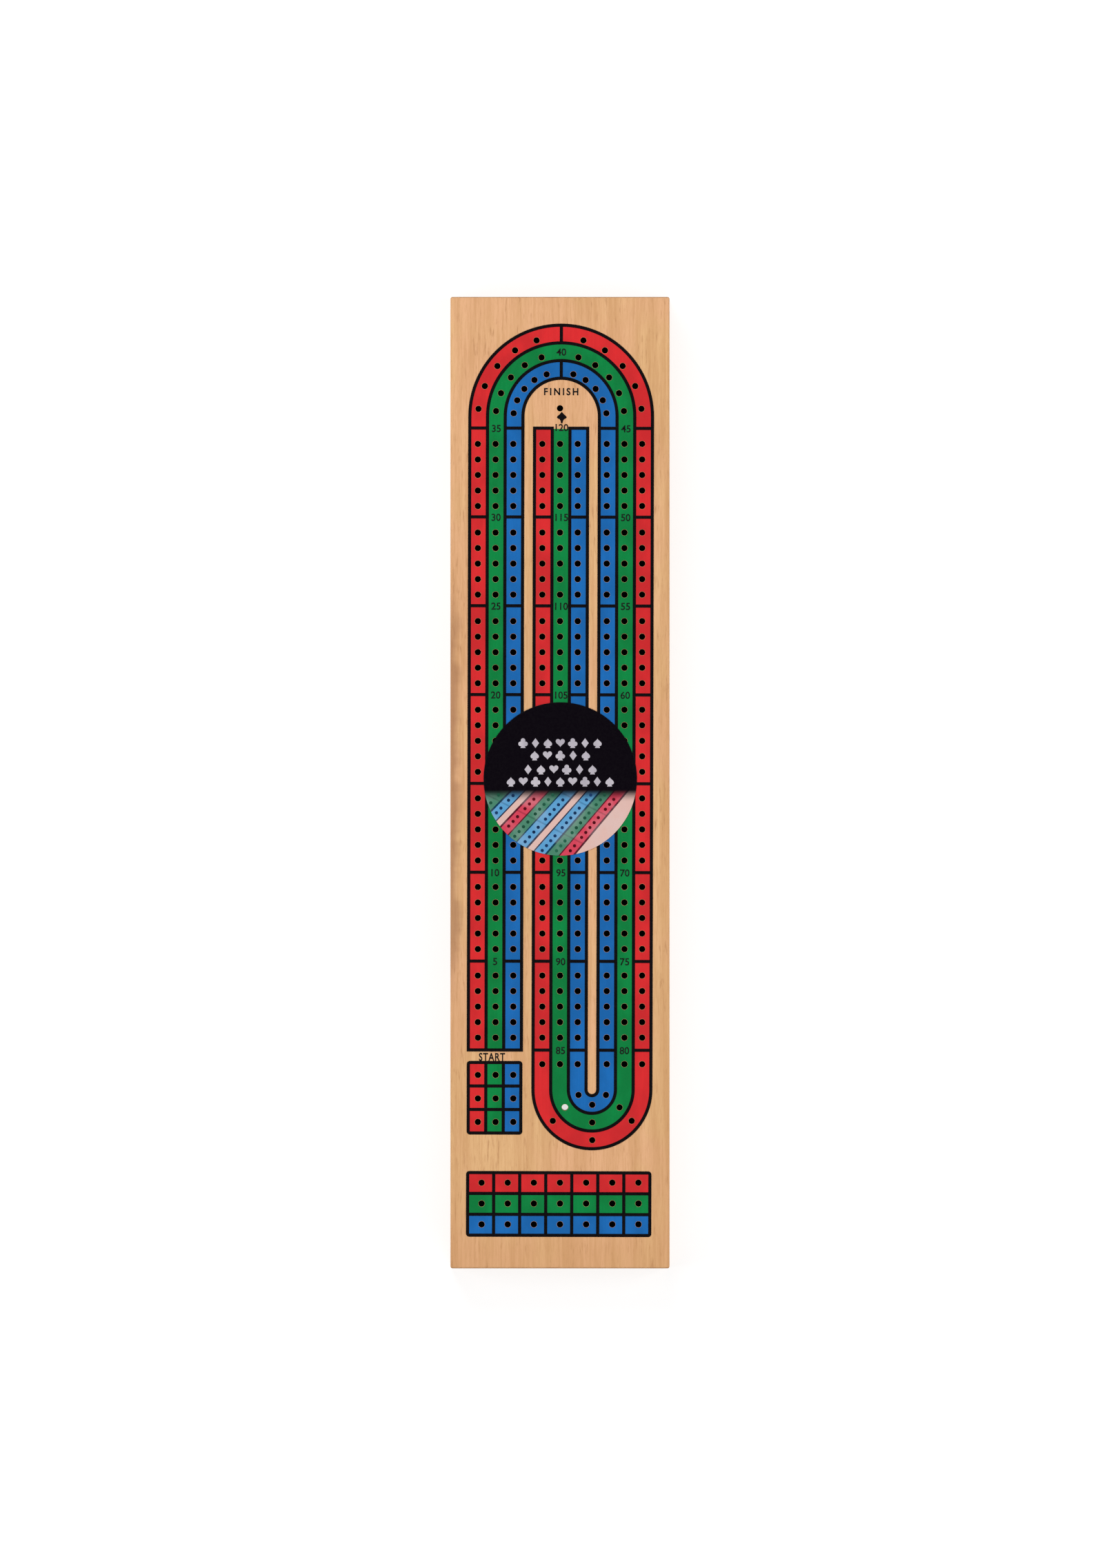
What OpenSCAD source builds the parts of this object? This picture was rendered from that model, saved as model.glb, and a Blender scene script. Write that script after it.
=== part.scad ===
// Three-lane cribbage board: one drilled plank with printed lanes, a peg
// compartment with a sliding steel door in its underside, nine stored pegs
// and a round stick-on label. Millimetres. The origin is the centre of the
// underside, +X is across the board, +Y points to the finish and +Z is up.

/* [Board] */
// Length of the board along Y
board_l = 368; // [364:1:380]
// Width of the board along X
board_w = 83; // [82:1:90]
// Thickness of the board
board_t = 16; // [16:0.5:20]
// Chamfer along every outer edge
edge_chamfer = 0.8; // [0.4:0.1:1.2]

/* [Peg holes] */
// Diameter of every peg hole
hole_d = 2.4; // [2.3:0.1:2.6]
// Depth of a blind peg hole
hole_depth = 7.5; // [6:0.5:8]
// Distance between holes within a group of five
hole_pitch = 5.88; // [5.7:0.02:6]
// Distance from one group of five to the next
group_pitch = 33.56; // [33.4:0.02:33.8]
// Distance between the centre lines of neighbouring lanes
lane_pitch = 6.7; // [6.6:0.1:6.8]
// Distance between the centre lines of neighbouring streets
street_pitch = 24.4; // [24.2:0.1:24.6]
// Distance between the start holes of one lane
start_pitch = 8.9; // [8.7:0.1:9.1]
// Distance between the game-counter holes of one lane
game_pitch = 9.9; // [9.8:0.1:10]
// Distance between the three rows of game-counter holes
game_row_pitch = 7.9; // [7.8:0.1:8]

/* [Print] */
// Thickness of a layer of colour
ink_t = 0.05; // [0.03:0.01:0.08]
// Width of the black lines
line_w = 1.2; // [0.8:0.1:1.4]
// How far the bare wood shows round each hole
hole_rim = 0.12; // [0.05:0.01:0.2]
// Turn of the print on the board, in degrees, clockwise from above
print_turn = 0.14; // [0:0.02:0.2]
// Shift of the print on the board along X
print_shift = 0.1; // [0:0.1:0.5]

/* [Label] */
// Diameter of the round label
label_d = 58.1; // [50:0.1:60]
// Thickness of the label
label_t = 0.15; // [0.1:0.01:0.2]
// Place of the label's centre along X
label_x = 0.1; // [-1:0.1:1]
// Place of the label's centre along Y
label_y = 1.4; // [0:0.1:3]

/* [Peg compartment] */
// Length of the compartment
cavity_l = 130; // [126:1:132]
// Width of the compartment and of its slot in the underside
cavity_w = 14.4; // [14:0.1:15]
// Height of the compartment above the door
cavity_h = 4.6; // [4.5:0.1:4.8]
// Place of the compartment's centre along Y
cavity_y = -35; // [-36:1:-34]
// Thickness of the wooden lips that hold the door
lip_t = 1.6; // [1.4:0.1:1.8]
// How far the door reaches under each lip
lip_w = 1.7; // [1.5:0.1:2]
// Thickness of the steel door
door_t = 0.8; // [0.6:0.1:0.9]
// How far the door slides
door_travel = 60; // [40:1:62]
// Clearance between the door and the board, on each face
door_gap = 0.1; // [0.08:0.01:0.15]

/* [Pegs] */
// Length of a peg
peg_l = 32; // [30:0.5:32]
// Diameter of a peg's head
peg_head_d = 4; // [3.8:0.1:4]
// Diameter of a peg's tip
peg_tip_d = 1.9; // [1.8:0.1:2]
// Distance between the stored rows of pegs
peg_row_pitch = 4.4; // [4.3:0.1:4.5]

/* [Hidden] */
$fn = 48;

wood = "burlywood";
red = [0.86, 0.12, 0.17];
green = [0.03, 0.48, 0.24];
blue = [0.12, 0.44, 0.7];
black = [0.05, 0.04, 0.05];
steel = "silver";
eps = 0.01;

// Lane offsets, measured outwards from the green lane in the middle.
lane_offset = [lane_pitch, 0, -lane_pitch];

// Drilled pattern.
street_groups = 7;                       // groups of five on a straight street
group_size = 5;
street_top_y = 128.3;                    // first hole below the top bend
top_bend_y = 137.7;                      // centre of the top bend
bottom_bend_y = -116.5;                  // centre of the bottom bend
bottom_bend_x = street_pitch / 2;
top_bend_first = 7.2;                    // angle of the bend's first hole
top_bend_step = 16.55;                   // angle from one hole to the next
bottom_bend_angle = [37.8, 32.1, 19];    // second hole of the bottom bend, by lane
finish_y = 141.8;
start_y = -110.7;
start_count = 3;
game_y = -151.5;
game_count = 7;
hole_r = hole_d / 2;

// Printed pattern, in its own frame before it is turned and shifted.
print_group = 33.65;
print_street = 24.53;                    // streets are printed a touch wider apart
print_top_y = 134.25;                    // line between holes 35 and 36, and at 120
print_bend_y = 138.7;
print_low_bend_y = -116.3;
print_bottom_y = print_top_y - street_groups * print_group;
tuck = 0.25;                             // how far colour stops short of a line's centre
start_box = [19.9, 26.7];
start_box_at = [-24.6, -119.4];
game_box = [69, 23.7];
game_box_at = [-0.2, -159.6];
label_lift = 0.02;                       // air under the label's edge, above the ink

// Peg compartment.
side_gap = 0.2;                          // clearance along each side of the door
stop_gap = 0.3;                          // clearance at each end of the door's travel
kerf_h = door_t + 2 * door_gap;
kerf_w = cavity_w + 2 * (lip_w + side_gap);
kerf_r = 5;
cavity_r = 3;
end_cover = 3;                           // how far the door covers past the compartment
door_w = cavity_w + 2 * lip_w;
door_l = cavity_l + 2 * end_cover;
door_r = kerf_r - side_gap;
door_z = lip_t + door_gap;
kerf_l = door_l + door_travel + 2 * stop_gap;
kerf_y0 = cavity_y - cavity_l / 2 - end_cover - stop_gap;
mouth_inset = lip_w + side_gap;          // how far the slot stops short of the kerf's ends
grip_r = 0.6;                            // thumb ridges pressed into the door
grip_l = 8;
grip_count = 3;
grip_step = 2.4;
grip_from_end = 14;
peg_lift = 0.15;                         // gap between a stored peg and the door
peg_bay = cavity_l / 3;                  // each of three pegs in a row has its own bay

// ---- Peg hole places ------------------------------------------------------

function street_ys() = [
    for (g = [0 : street_groups - 1], k = [0 : group_size - 1])
        street_top_y - g * group_pitch - k * hole_pitch
];

function bend(centre, r, angle) = [centre.x + r * cos(angle), centre.y + r * sin(angle)];

function street_holes(lane) = let (o = lane_offset[lane]) [
    for (y = street_ys(), x = [-street_pitch - o, -o, street_pitch + o]) [x, y]
];

function top_bend_holes(lane) = let (r = street_pitch + lane_offset[lane]) [
    for (k = [0 : group_size - 1], side = [0, 1])
        let (a = top_bend_first + k * top_bend_step)
        bend([0, top_bend_y], r, side == 0 ? a : 180 - a)
];

function bottom_bend_holes(lane) =
    let (
        r = street_pitch / 2 + lane_offset[lane],
        a = bottom_bend_angle[lane],
        c = [bottom_bend_x, bottom_bend_y],
        row_y = street_top_y - street_groups * group_pitch
    )
    [
        [c.x + r, row_y], [c.x - r, row_y],
        bend(c, r, -a), bend(c, r, a - 180), bend(c, r, -90),
    ];

function start_holes(lane) = [
    for (i = [0 : start_count - 1])
        [-street_pitch - lane_offset[lane], start_y - i * start_pitch]
];

function game_holes(lane) = [
    for (i = [0 : game_count - 1])
        [(i - (game_count - 1) / 2) * game_pitch, game_y - lane * game_row_pitch]
];

function lane_holes(lane) = concat(
    street_holes(lane), top_bend_holes(lane), bottom_bend_holes(lane),
    start_holes(lane), game_holes(lane)
);

// The one hole drilled right through: green 84, on the middle street's side.
through_hole = bottom_bend_holes(1)[3];

// ---- Board ----------------------------------------------------------------

// Outline of a block's section with its four corners chamfered, centred on X.
module chamfered_section(w, h, c) {
    polygon([
        [-w / 2 + c, 0], [w / 2 - c, 0], [w / 2, c], [w / 2, h - c],
        [w / 2 - c, h], [-w / 2 + c, h], [-w / 2, h - c], [-w / 2, c],
    ]);
}

module plank() {
    intersection() {
        rotate([90, 0, 0])
            linear_extrude(board_l, center = true)
                chamfered_section(board_w, board_t, edge_chamfer);
        rotate([90, 0, 90])
            linear_extrude(board_w, center = true)
                chamfered_section(board_l, board_t, edge_chamfer);
    }
}

// A flat pocket with round corners, from its lower end in Y, as a router cuts it.
module pocket(w, l, r, h) {
    translate([-w / 2 + r, 0, 0]) cube([w - 2 * r, l, h]);
    translate([-w / 2, r, 0]) cube([w, l - 2 * r, h]);
    for (x = [-w / 2 + r, w / 2 - r], y = [r, l - r])
        translate([x, y, 0]) cylinder(r = r, h = h);
}

module drilled_holes() {
    for (lane = [0 : 2], p = lane_holes(lane))
        translate([p.x, p.y, board_t - hole_depth])
            cylinder(r = hole_r, h = hole_depth + 1);
    translate([0, finish_y, board_t - hole_depth])
        cylinder(r = hole_r, h = hole_depth + 1);
    translate([through_hole.x, through_hole.y, -1])
        cylinder(r = hole_r, h = board_t - hole_depth + 2);
}

module board() {
    color(wood)
        difference() {
            plank();
            drilled_holes();
            translate([0, kerf_y0 + mouth_inset, -1])
                pocket(cavity_w, kerf_l - 2 * mouth_inset, cavity_r, lip_t + 1 + eps);
            translate([0, kerf_y0, lip_t])
                pocket(kerf_w, kerf_l, kerf_r, kerf_h);
            translate([0, cavity_y - cavity_l / 2, lip_t + kerf_h - eps])
                pocket(cavity_w, cavity_l, cavity_r, cavity_h + eps);
        }
}

// ---- Print ----------------------------------------------------------------

module half_ring(r1, r2) {
    intersection() {
        difference() {
            circle(r = r2);
            circle(r = r1);
        }
        translate([-r2 - 1, 0]) square([2 * r2 + 2, r2 + 1]);
    }
}

// The band of the track between two outward offsets, from the start line up
// the left street, round to the right, and back up the middle to hole 120.
module track_band(o1, o2, end_gap = 0) {
    w = o2 - o1;
    y0 = print_bottom_y + end_gap;
    y1 = print_top_y - end_gap;
    translate([-print_street - o2, y0]) square([w, print_bend_y - y0]);
    translate([0, print_bend_y]) half_ring(print_street + o1, print_street + o2);
    translate([print_street + o1, print_low_bend_y])
        square([w, print_bend_y - print_low_bend_y]);
    translate([print_street / 2, print_low_bend_y])
        mirror([0, 1]) half_ring(print_street / 2 + o1, print_street / 2 + o2);
    translate([-o2, print_low_bend_y]) square([w, y1 - print_low_bend_y]);
}

module print_frame() {
    translate([print_shift, 0, 0]) rotate([0, 0, -print_turn]) children();
}

module rim_circles(lane) {
    for (p = lane_holes(lane))
        translate(p) circle(r = hole_r + hole_rim);
}

module lane_print(lane) {
    o = lane_offset[lane];
    half = lane_pitch / 2 - tuck;
    row_h = game_box.y / 3;
    translate([0, 0, board_t])
        linear_extrude(ink_t)
            difference() {
                print_frame() {
                    track_band(o - half, o + half, tuck);
                    translate([start_box_at.x - o, start_box_at.y])
                        square([2 * half, start_box.y - 2 * tuck], center = true);
                    translate([game_box_at.x, game_box_at.y + (1 - lane) * row_h])
                        square([game_box.x - 2 * tuck, row_h - 2 * tuck], center = true);
                }
                rim_circles(lane);
            }
}

module print_red() color(red) lane_print(0);
module print_green() color(green) lane_print(1);
module print_blue() color(blue) lane_print(2);

// A black line from a to b, both on the same row or the same column.
module line(a, b) {
    lo = [min(a.x, b.x), min(a.y, b.y)] - [line_w, line_w] / 2;
    hi = [max(a.x, b.x), max(a.y, b.y)] + [line_w, line_w] / 2;
    translate(lo) square(hi - lo);
}

// A line across one lane of a street whose green lane runs at x.
module lane_tick(x, o, y) line([x - lane_pitch / 2 + o, y], [x + lane_pitch / 2 + o, y]);

module track_lines() {
    for (b = [-1.5, -0.5, 0.5, 1.5])
        track_band(b * lane_pitch - line_w / 2, b * lane_pitch + line_w / 2);
    for (o = [-lane_pitch, lane_pitch]) {
        for (i = [0 : street_groups - 1])
            lane_tick(-print_street, o, print_top_y - i * print_group);
        for (i = [0 : street_groups])
            lane_tick(0, o, print_top_y - i * print_group);
        for (i = [0 : street_groups])
            lane_tick(print_street, o, print_top_y - i * print_group);
        top = print_bend_y + print_street + o;
        line([0, top - lane_pitch / 2], [0, top + lane_pitch / 2]);
    }
    line([-print_street - 1.5 * lane_pitch, print_bottom_y],
         [-print_street + 1.5 * lane_pitch, print_bottom_y]);
}

// A box of lines with columns and rows of equal cells.
module line_grid(size, columns, rows) {
    for (i = [0 : columns]) {
        x = (i / columns - 0.5) * size.x;
        line([x, -size.y / 2], [x, size.y / 2]);
    }
    for (j = [0 : rows]) {
        y = (j / rows - 0.5) * size.y;
        line([-size.x / 2, y], [size.x / 2, y]);
    }
}

module print_black() {
    color(black)
        translate([0, 0, board_t + ink_t])
            linear_extrude(ink_t)
                print_frame() {
                    track_lines();
                    translate(start_box_at) line_grid(start_box, 3, 3);
                    translate(game_box_at) line_grid(game_box, 7, 3);
                }
}

// ---- Label ----------------------------------------------------------------

module round_label() {
    color(black)
        translate([label_x, label_y, board_t + 2 * ink_t + label_lift])
            cylinder(d = label_d, h = label_t, $fn = 128);
}

// ---- Compartment door -----------------------------------------------------

module compartment_door() {
    y0 = cavity_y - door_l / 2;
    color(steel) {
        translate([0, y0, door_z]) pocket(door_w, door_l, door_r, door_t);
        for (i = [0 : grip_count - 1])
            translate([0, y0 + grip_from_end + i * grip_step, door_z])
                rotate([0, 90, 0]) cylinder(r = grip_r, h = grip_l, center = true);
    }
}

// ---- Pegs -----------------------------------------------------------------

peg_tip_r = peg_tip_d / 2;
peg_head_r = peg_head_d / 2;
shank_r = peg_tip_r + 0.35;              // widest part of the tapered shank
waist_r = peg_head_r - 0.75;             // narrowest part of the head
shank_l = 21;
waist_at = 23;
button_l = 2;                            // rounded button at the top of the head

// Half outline of a peg, from the tip at the origin along +Y: radius, height.
peg_outline = [
    [0, 0], [peg_tip_r - 0.3, 0], [peg_tip_r, 0.4], [peg_tip_r + 0.12, 8],
    [shank_r, shank_l - 1], [shank_r, shank_l], [waist_r + 0.15, shank_l + 0.6],
    [waist_r, waist_at], [peg_head_r - 0.2, peg_l - button_l],
    [peg_head_r, peg_l - 0.6 * button_l], [peg_head_r, peg_l - 0.3 * button_l],
    [peg_head_r - 0.5, peg_l], [0, peg_l],
];

module peg() {
    rotate_extrude() polygon(peg_outline);
}

// A peg lying in the compartment: row 0 to 2 across X, bay 0 to 2 along Y.
// The pegs of the middle row point the other way.
module stored_peg(row, bay) {
    turned = row == 1 ? 180 : 0;
    translate([
        (row - 1) * peg_row_pitch,
        cavity_y + (bay - 1) * peg_bay,
        door_z + door_t + peg_lift + peg_head_r
    ])
        rotate([0, 0, turned]) rotate([-90, 0, 0])
            translate([0, 0, -peg_l / 2]) peg();
}

// ---- Nodes ----------------------------------------------------------------

board();
print_red();
print_green();
print_blue();
print_black();
round_label();
compartment_door();
color(red) stored_peg(0, 0);  // red_peg_1
color(red) stored_peg(0, 1);  // red_peg_2
color(red) stored_peg(0, 2);  // red_peg_3
color(green) stored_peg(1, 0);  // green_peg_1
color(green) stored_peg(1, 1);  // green_peg_2
color(green) stored_peg(1, 2);  // green_peg_3
color(blue) stored_peg(2, 0);  // blue_peg_1
color(blue) stored_peg(2, 1);  // blue_peg_2
color(blue) stored_peg(2, 2);  // blue_peg_3
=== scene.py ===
"""Looks of a three-lane cribbage board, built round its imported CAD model.

Sizes named here are millimetres, in the board's own frame: +X across the board,
+Y towards the finish hole, +Z up. Meshes are metres, as the CAD nodes are.
"""

import math

import bmesh
import bpy
from mathutils import Matrix, Vector


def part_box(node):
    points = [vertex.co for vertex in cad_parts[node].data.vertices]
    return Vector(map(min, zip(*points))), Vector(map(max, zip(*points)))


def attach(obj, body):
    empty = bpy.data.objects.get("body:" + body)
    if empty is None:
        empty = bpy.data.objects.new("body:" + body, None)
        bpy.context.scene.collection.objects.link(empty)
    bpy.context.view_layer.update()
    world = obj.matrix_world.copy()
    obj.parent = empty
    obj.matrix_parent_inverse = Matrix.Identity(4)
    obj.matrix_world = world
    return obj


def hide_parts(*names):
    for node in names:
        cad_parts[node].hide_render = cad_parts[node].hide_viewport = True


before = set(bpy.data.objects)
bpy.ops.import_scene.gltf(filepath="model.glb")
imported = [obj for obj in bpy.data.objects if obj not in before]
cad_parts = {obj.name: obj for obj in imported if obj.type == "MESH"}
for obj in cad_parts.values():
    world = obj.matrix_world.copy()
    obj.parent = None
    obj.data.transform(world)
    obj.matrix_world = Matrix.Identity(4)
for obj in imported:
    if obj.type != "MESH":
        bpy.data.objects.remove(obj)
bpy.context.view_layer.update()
scene = bpy.context.scene
MM = 0.001

# ---- Sizes of the board, as in its CAD source ------------------------------

low, high = (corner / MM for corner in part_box("board"))
BOARD_TOP = high.z
EDGE_RADIUS = 0.8
SHARP_ANGLE = 30.0

LANES = ("red", "green", "blue")
LANE_PITCH = 6.7
OUTWARD = {"red": LANE_PITCH, "green": 0.0, "blue": -LANE_PITCH}

HOLE_RADIUS = 1.2
HOLE_DEPTH = 7.5
RIM_WIDTH = 0.06
HOLE_SIDES = 28
HOLE_PITCH = 5.88
GROUP_PITCH = 33.56
GROUPS = 7
STREET_PITCH = 24.4
FIRST_ROW = 128.3
TOP_BEND = 137.7
TOP_BEND_FIRST = 7.2
TOP_BEND_STEP = 16.55
LOW_BEND = -116.5
LOW_BEND_SIDE = {"red": 37.8, "green": 32.1, "blue": 19.0}
FINISH_HOLE = (0.0, 141.8)
START_FIRST = -110.7
START_PITCH = 8.9
GAME_FIRST = -151.5
GAME_PITCH = 9.9
GAME_ROW = 7.9

INK = 0.05
LINE_WIDTH = 1.2
INK_TUCK = 0.25
PRINT_TURN = -0.14
PRINT_SHIFT = 0.1
PRINT_STREET = 24.53
PRINT_GROUP = 33.65
PRINT_TOP = 134.25
PRINT_TOP_BEND = 138.7
PRINT_LOW_BEND = -116.3
PRINT_START = PRINT_TOP - GROUPS * PRINT_GROUP
START_BLOCK = ((-24.6, -119.4), (19.9, 26.7))
GAME_BLOCK = ((-0.2, -159.6), (69.0, 23.7))
NUMBER_HEIGHT = 2.7

CAVITY = {"width": 14.4, "length": 130.0, "middle": -35.0, "corner": 3.0}
KERF = {"width": 18.2, "start": -103.3, "length": 196.6, "corner": 5.0, "low": 1.6, "high": 2.6}
CAVITY_TOP = 7.2
SLOT_MARGIN = 1.9

label_low, label_high = (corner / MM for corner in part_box("round_label"))
LABEL_CENTRE = ((label_low.x + label_high.x) / 2, (label_low.y + label_high.y) / 2)
LABEL_RADIUS = (label_high.x - label_low.x) / 2
LABEL_SIDES = 144
LABEL_ART = 0.02

# The label's picture: stripes that fan out very slightly from the top, seen as a track of holes.
STRIPE_ANGLE = 49.0
FAN_MIDDLE = 13.0
FAN_ROW = -15.0
FAN_SPREAD = 0.0022
DOT_PITCH = 2.45
DOT_GROUP = 13.95
DOT_FIRST = 1.9
DOT_RADIUS = 0.62
TICK_START = -17.15
TICK_SLOPE = 0.25


# ---- Places ----------------------------------------------------------------

def on_circle(centre, radius, degrees):
    """The point of a circle at an angle, counted anticlockwise from +X."""
    angle = math.radians(degrees)
    return (centre[0] + radius * math.cos(angle), centre[1] + radius * math.sin(angle))


def arc(centre, radius, start, end, step=3.0):
    """Points on an arc from one angle to another, both ends included."""
    count = max(2, round(abs(end - start) / step))
    return [on_circle(centre, radius, start + (end - start) * i / count) for i in range(count + 1)]


def street_rows():
    """The Y of every row of holes in a street, in groups of five from the top."""
    return [FIRST_ROW - g * GROUP_PITCH - k * HOLE_PITCH for g in range(GROUPS) for k in range(5)]


def lane_holes(lane):
    """Every peg hole of one lane: streets, bends, start block and game counters."""
    out = OUTWARD[lane]
    holes = [(x, y) for y in street_rows() for x in (-STREET_PITCH - out, -out, STREET_PITCH + out)]
    for k in range(5):
        angle = TOP_BEND_FIRST + k * TOP_BEND_STEP
        for turn in (angle, 180 - angle):
            holes.append(on_circle((0, TOP_BEND), STREET_PITCH + out, turn))
    middle = (STREET_PITCH / 2, LOW_BEND)
    radius = STREET_PITCH / 2 + out
    row = FIRST_ROW - GROUPS * GROUP_PITCH
    side = LOW_BEND_SIDE[lane]
    holes += [(middle[0] + radius, row), (middle[0] - radius, row)]
    holes += [on_circle(middle, radius, turn) for turn in (-side, side - 180, -90)]
    holes += [(-STREET_PITCH - out, START_FIRST - i * START_PITCH) for i in range(3)]
    game_row = GAME_FIRST - LANES.index(lane) * GAME_ROW
    holes += [((i - 3) * GAME_PITCH, game_row) for i in range(7)]
    return holes


def through_hole():
    """The one hole that goes right through the board: green 84."""
    side = LOW_BEND_SIDE["green"]
    return on_circle((STREET_PITCH / 2, LOW_BEND), STREET_PITCH / 2, side - 180)


def printed(point):
    """A point of the printed pattern on the board: the print sits slightly turned and shifted."""
    turn = math.radians(PRINT_TURN)
    x, y = point
    return (x * math.cos(turn) - y * math.sin(turn) + PRINT_SHIFT, x * math.sin(turn) + y * math.cos(turn))


def track(outward, end_gap=0.0):
    """The printed track at one distance outwards from its middle, start line to hole 120."""
    points = [(-PRINT_STREET - outward, PRINT_START + end_gap)]
    points += arc((0, PRINT_TOP_BEND), PRINT_STREET + outward, 180, 0)
    points += arc((PRINT_STREET / 2, PRINT_LOW_BEND), PRINT_STREET / 2 + outward, 0, -180)
    points.append((-outward, PRINT_TOP - end_gap))
    return points


# ---- Node helpers ----------------------------------------------------------

def add_node(tree, kind, inputs=None, **settings):
    """A new node with its settings, and its inputs linked or set by name or number."""
    node = tree.nodes.new(kind)
    for name, value in settings.items():
        setattr(node, name, value)
    for name, value in (inputs or {}).items():
        if isinstance(value, bpy.types.NodeSocket):
            tree.links.new(value, node.inputs[name])
        else:
            node.inputs[name].default_value = value
    return node


def maths(tree, operation, *values):
    """The result of a maths node on sockets or numbers."""
    return add_node(tree, "ShaderNodeMath", dict(enumerate(values)), operation=operation).outputs[0]


def start_tree(name, sockets):
    """A Geometry Nodes tree with a geometry input and the named inputs, and its input node's outputs."""
    tree = bpy.data.node_groups.new(name, "GeometryNodeTree")
    tree.interface.new_socket("Geometry", in_out="INPUT", socket_type="NodeSocketGeometry")
    for label, kind in sockets:
        tree.interface.new_socket(label, in_out="INPUT", socket_type="NodeSocket" + kind)
    tree.interface.new_socket("Geometry", in_out="OUTPUT", socket_type="NodeSocketGeometry")
    return tree, tree.nodes.new("NodeGroupInput").outputs


def end_tree(tree, geometry, material):
    """Closes a tree with Realize Instances and Set Material."""
    whole = add_node(tree, "GeometryNodeRealizeInstances", {"Geometry": geometry})
    inputs = {"Geometry": whole.outputs[0]}
    if material is not None:
        inputs["Material"] = material
        whole = add_node(tree, "GeometryNodeSetMaterial", inputs)
    add_node(tree, "NodeGroupOutput", {"Geometry": whole.outputs[0]})


def grown(tree, mesh, values):
    """The plain mesh that a Geometry Nodes tree makes from a mesh and its named inputs."""
    carrier = bpy.data.objects.new("carrier", mesh)
    scene.collection.objects.link(carrier)
    modifier = carrier.modifiers.new("nodes", "NODES")
    modifier.node_group = tree
    for item in tree.interface.items_tree:
        if item.in_out == "INPUT" and item.name in values:
            modifier[item.identifier] = values[item.name]
    evaluated = carrier.evaluated_get(bpy.context.evaluated_depsgraph_get())
    result = bpy.data.meshes.new_from_object(evaluated)
    carrier.modifiers.clear()
    bpy.data.objects.remove(carrier)
    return result


# ---- Mesh helpers ----------------------------------------------------------

def metres(point, z):
    """A point in millimetres and its height, as a vector in metres."""
    return Vector((point[0], point[1], z)) * MM


def points_object(name, places, z):
    """A helper object with one loose vertex at each place."""
    mesh = bpy.data.meshes.new(name)
    mesh.from_pydata([metres(p, z) for p in places], [], [])
    helper = bpy.data.objects.new(name, mesh)
    scene.collection.objects.link(helper)
    return helper


def lines_mesh(name, lines, z):
    """A mesh of polylines at one height; a line that ends on its first point is a closed loop."""
    vertices = []
    edges = []
    for line in lines:
        first = len(vertices)
        closed = line[0] == line[-1]
        points = line[:-1] if closed else line
        vertices += [metres(p, z) for p in points]
        edges += [(first + i, first + i + 1) for i in range(len(points) - 1)]
        if closed:
            edges.append((first + len(points) - 1, first))
    mesh = bpy.data.meshes.new(name)
    mesh.from_pydata(vertices, edges, [])
    return mesh


def prism(name, outline, z0, z1):
    """A closed solid over one outline, given anticlockwise from above."""
    shape = bmesh.new()
    floor = [shape.verts.new(metres(p, z0)) for p in outline]
    roof = [shape.verts.new(metres(p, z1)) for p in outline]
    shape.faces.new(list(reversed(floor)))
    shape.faces.new(roof)
    for i, corner in enumerate(floor):
        after = (i + 1) % len(floor)
        shape.faces.new((corner, floor[after], roof[after], roof[i]))
    mesh = bpy.data.meshes.new(name)
    shape.to_mesh(mesh)
    shape.free()
    return mesh


def shade(mesh):
    """Smooth shading, with sharp edges where faces meet at more than SHARP_ANGLE."""
    mesh.polygons.foreach_set("use_smooth", [True] * len(mesh.polygons))
    mesh.set_sharp_from_angle(angle=math.radians(SHARP_ANGLE))
    mesh.update()


def shade_flat(mesh):
    """Flat shading, for ink whose edges are square."""
    mesh.polygons.foreach_set("use_smooth", [False] * len(mesh.polygons))
    mesh.update()
    return mesh


def leaning_to_flats(mesh):
    """Normals led by the large faces, so that a flat face looks flat right up to its rounded edges."""
    shade(mesh)
    carrier = bpy.data.objects.new("carrier", mesh)
    scene.collection.objects.link(carrier)
    modifier = carrier.modifiers.new("normals", "WEIGHTED_NORMAL")
    modifier.weight = 100
    modifier.keep_sharp = True
    evaluated = carrier.evaluated_get(bpy.context.evaluated_depsgraph_get())
    result = bpy.data.meshes.new_from_object(evaluated)
    bpy.data.objects.remove(carrier)
    return result


def joined(name, meshes):
    """One mesh from several, keeping their materials."""
    shape = bmesh.new()
    materials = []
    for mesh in meshes:
        first = len(shape.faces)
        shape.from_mesh(mesh)
        shape.faces.ensure_lookup_table()
        slots = [m for m in mesh.materials] or [None]
        for m in slots:
            if m not in materials:
                materials.append(m)
        for face in shape.faces[first:]:
            face.material_index = materials.index(slots[min(face.material_index, len(slots) - 1)])
    whole = bpy.data.meshes.new(name)
    shape.to_mesh(whole)
    shape.free()
    for material in materials:
        whole.materials.append(material)
    return whole


def piece(name, mesh, body="board", stands_for=()):
    """Puts a finished mesh in the scene, on its body, and hides the CAD nodes it stands for."""
    made = bpy.data.objects.new(name, mesh)
    scene.collection.objects.link(made)
    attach(made, body)
    if stands_for:
        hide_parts(*stands_for)
    return made


# ---- Materials -------------------------------------------------------------

def tone(red, green, blue):
    """A colour given as seen, 0 to 255, turned into the linear light that shaders use."""
    seen = (value / 255 for value in (red, green, blue))
    return tuple(v / 12.92 if v <= 0.04045 else ((v + 0.055) / 1.055) ** 2.4 for v in seen)


def start_material(name):
    """A new material, its tree, its shader and its object coordinates in millimetres."""
    material = bpy.data.materials.new(name)
    material.use_nodes = True
    tree = material.node_tree
    shader = tree.nodes["Principled BSDF"]
    coords = tree.nodes.new("ShaderNodeTexCoord")
    scaled = add_node(tree, "ShaderNodeMapping", {"Vector": coords.outputs["Object"]})
    scaled.inputs["Scale"].default_value = (1 / MM, 1 / MM, 1 / MM)
    return material, tree, shader, scaled.outputs[0]


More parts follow.
